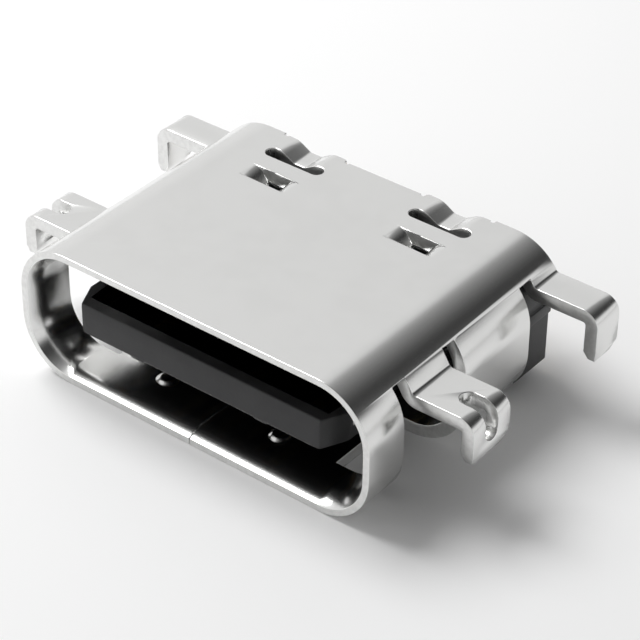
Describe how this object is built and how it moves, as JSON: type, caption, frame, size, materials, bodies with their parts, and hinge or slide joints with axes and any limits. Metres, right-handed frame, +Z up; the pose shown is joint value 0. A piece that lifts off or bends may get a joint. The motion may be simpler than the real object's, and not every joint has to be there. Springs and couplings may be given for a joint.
{
  "type": "mid-mount type-c socket",
  "caption": "Short mid-mount socket: folded steel shell with bent legs, lances and windows round a flat black tongue with gold contacts.",
  "frame": {"origin": "centre of the mouth, in the plane of its rim", "axes": "+X across the socket, +Y from the mouth to the back, +Z up from the floor with the seam to the roof with the lances"},
  "size_m": [0.0116, 0.0072, 0.0032],
  "materials": {
    "shell_steel": "satin stainless sheet",
    "plate_steel": "satin stainless sheet",
    "housing_plastic": "black moulded plastic",
    "carrier_plastic": "black moulded plastic",
    "contact_gold": "gold-plated copper alloy"
  },
  "bodies": {
    "root": {"shell": "shell_steel", "housing": "housing_plastic", "upper_carrier": "carrier_plastic", "lower_carrier": "carrier_plastic", "mid_plate": "plate_steel", "contact_a1": "contact_gold", "contact_a4": "contact_gold", "contact_a5": "contact_gold", "contact_a6": "contact_gold", "contact_a7": "contact_gold", "contact_a8": "contact_gold", "contact_a9": "contact_gold", "contact_a12": "contact_gold", "contact_b1": "contact_gold", "contact_b4": "contact_gold", "contact_b5": "contact_gold", "contact_b6": "contact_gold", "contact_b7": "contact_gold", "contact_b8": "contact_gold", "contact_b9": "contact_gold", "contact_b12": "contact_gold"}
  },
  "joints": []
}
